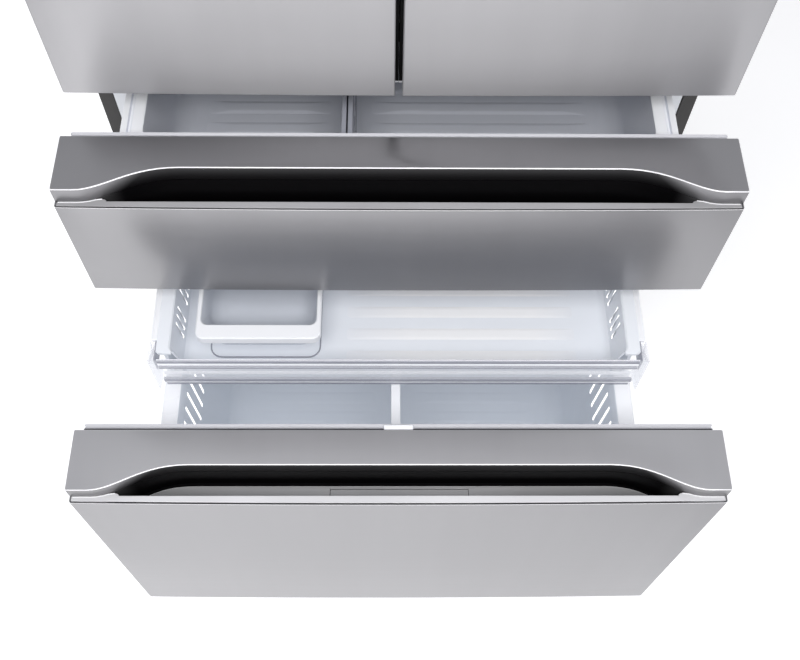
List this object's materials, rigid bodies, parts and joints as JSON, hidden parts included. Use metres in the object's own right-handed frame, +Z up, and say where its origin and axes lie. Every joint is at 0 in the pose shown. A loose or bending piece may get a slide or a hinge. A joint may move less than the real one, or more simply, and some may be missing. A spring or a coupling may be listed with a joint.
{
  "type": "french door refrigerator",
  "caption": "Stainless french door refrigerator with a middle drawer and a bottom freezer drawer standing open, pocket handles, baskets, sliding tray and ice bin.",
  "frame": {"origin": "on the floor, under the middle of the object's box as it stands with both drawers open", "axes": "+Z up, -Y out of the doors towards the user, +X to the right of someone facing the doors"},
  "size_m": [0.908, 1.339, 1.78],
  "materials": {
    "stainless": "brushed stainless sheet",
    "case_paint": "satin dark grey paint",
    "liner_white": "vacuum formed white liner, satin",
    "basket_white": "pale translucent moulded plastic",
    "clear_plastic": "clear moulded plastic",
    "pocket_dark": "dark glossy moulded plastic",
    "gasket_grey": "light grey magnetic door seal",
    "black_plastic": "matte black plastic",
    "zinc": "zinc plated steel",
    "machine_black": "black enamel",
    "shelf_glass": "tempered glass in a clear frame",
    "roller_rubber": "black roller"
  },
  "bodies": {
    "cabinet": {"case_shell": "case_paint", "case_back": "case_paint", "rear_cover": "black_plastic", "base_pan": "zinc", "center_rail": "case_paint", "fresh_food_liner": "liner_white", "middle_liner": "liner_white", "freezer_liner": "liner_white", "compressor": "machine_black", "toe_grille": "black_plastic", "front_foot_left": "black_plastic", "front_foot_right": "black_plastic", "hinge_top_left": "zinc", "hinge_top_right": "zinc", "hinge_lower_left": "zinc", "hinge_lower_right": "zinc", "hinge_cover_left": "case_paint", "hinge_cover_right": "case_paint", "shelf": "shelf_glass", "crisper_shelf": "shelf_glass", "freezer_rail_fixed_left": "zinc", "freezer_rail_fixed_right": "zinc"},
    "condenser_fan": {"condenser_fan": "black_plastic"},
    "rear_roller_left": {"rear_roller_left": "roller_rubber"},
    "rear_roller_right": {"rear_roller_right": "roller_rubber"},
    "crisper_left": {"crisper_left": "clear_plastic"},
    "crisper_right": {"crisper_right": "clear_plastic"},
    "left_door": {"left_door_skin": "stainless", "left_door_liner": "liner_white", "left_door_gasket": "gasket_grey", "left_door_bin": "clear_plastic"},
    "mullion_flap": {"mullion_flap": "black_plastic"},
    "right_door": {"right_door_skin": "stainless", "right_door_liner": "liner_white", "right_door_gasket": "gasket_grey", "right_door_bin": "clear_plastic"},
    "middle_drawer": {"middle_front_panel": "stainless", "middle_front_cap": "stainless", "middle_handle_pocket": "pocket_dark", "middle_front_liner": "liner_white", "middle_gasket": "gasket_grey", "middle_basket": "basket_white", "middle_divider": "basket_white", "middle_rail_left": "zinc", "middle_rail_right": "zinc"},
    "freezer_rails": {"freezer_rail_middle_left": "zinc", "freezer_rail_middle_right": "zinc"},
    "freezer_drawer": {"freezer_front_panel": "stainless", "freezer_front_cap": "stainless", "freezer_handle_pocket": "pocket_dark", "freezer_front_liner": "liner_white", "freezer_gasket": "gasket_grey", "freezer_basket": "basket_white", "freezer_divider": "basket_white", "freezer_rail_moving_left": "zinc", "freezer_rail_moving_right": "zinc"},
    "freezer_tray": {"freezer_tray": "basket_white", "tray_trim": "clear_plastic", "ice_bin": "basket_white"},
    "easy_open_lever": {"easy_open_lever": "stainless"}
  },
  "joints": [
    {"name": "left_door_hinge", "type": "hinge", "parent": "cabinet", "child": "left_door", "pos_m": [-0.442, -0.15, 1.3], "axis": [0, 0, -1], "range_deg": [0, 120]},
    {"name": "right_door_hinge", "type": "hinge", "parent": "cabinet", "child": "right_door", "pos_m": [0.442, -0.15, 1.3], "axis": [0, 0, 1], "range_deg": [0, 120]},
    {"name": "mullion_flap_hinge", "type": "hinge", "parent": "left_door", "child": "mullion_flap", "pos_m": [-0.0375, -0.0862, 1.3], "axis": [0, 0, 1], "range_deg": [0, 90.5]},
    {"name": "middle_drawer_slide", "type": "slide", "parent": "cabinet", "child": "middle_drawer", "axis": [0, -1, 0], "range_m": [-0.156, 0.244]},
    {"name": "freezer_drawer_slide", "type": "slide", "parent": "cabinet", "child": "freezer_drawer", "axis": [0, -1, 0], "range_m": [-0.476, 0]},
    {"name": "freezer_rail_slide", "type": "slide", "parent": "cabinet", "child": "freezer_rails", "axis": [0, -1, 0], "range_m": [-0.238, 0]},
    {"name": "freezer_tray_slide", "type": "slide", "parent": "freezer_drawer", "child": "freezer_tray", "axis": [0, 1, 0], "range_m": [-0.11, 0.16]},
    {"name": "easy_open_lever_hinge", "type": "hinge", "parent": "freezer_drawer", "child": "easy_open_lever", "pos_m": [0, -0.6375, 0.555], "axis": [1, 0, 0], "range_deg": [0, 12], "stiffness_Nm_per_rad": 2},
    {"name": "crisper_left_slide", "type": "slide", "parent": "cabinet", "child": "crisper_left", "axis": [0, -1, 0], "range_m": [0, 0.25]},
    {"name": "crisper_right_slide", "type": "slide", "parent": "cabinet", "child": "crisper_right", "axis": [0, -1, 0], "range_m": [0, 0.25]},
    {"name": "condenser_fan_spin", "type": "hinge", "parent": "cabinet", "child": "condenser_fan", "pos_m": [0.145, 0.545, 0.155], "axis": [1, 0, 0], "continuous": true},
    {"name": "rear_roller_left_spin", "type": "hinge", "parent": "cabinet", "child": "rear_roller_left", "pos_m": [-0.4, 0.61, 0.02], "axis": [1, 0, 0], "continuous": true},
    {"name": "rear_roller_right_spin", "type": "hinge", "parent": "cabinet", "child": "rear_roller_right", "pos_m": [0.4, 0.61, 0.02], "axis": [1, 0, 0], "continuous": true}
  ],
  "couplings": [
    {"joint": "mullion_flap_hinge", "follows": "left_door_hinge", "ratio": 0.75},
    {"joint": "crisper_left_slide", "follows": "left_door_hinge", "m_per_rad": 0.119},
    {"joint": "crisper_right_slide", "follows": "right_door_hinge", "m_per_rad": 0.119},
    {"joint": "freezer_rail_slide", "follows": "freezer_drawer_slide", "ratio": 0.5}
  ]
}
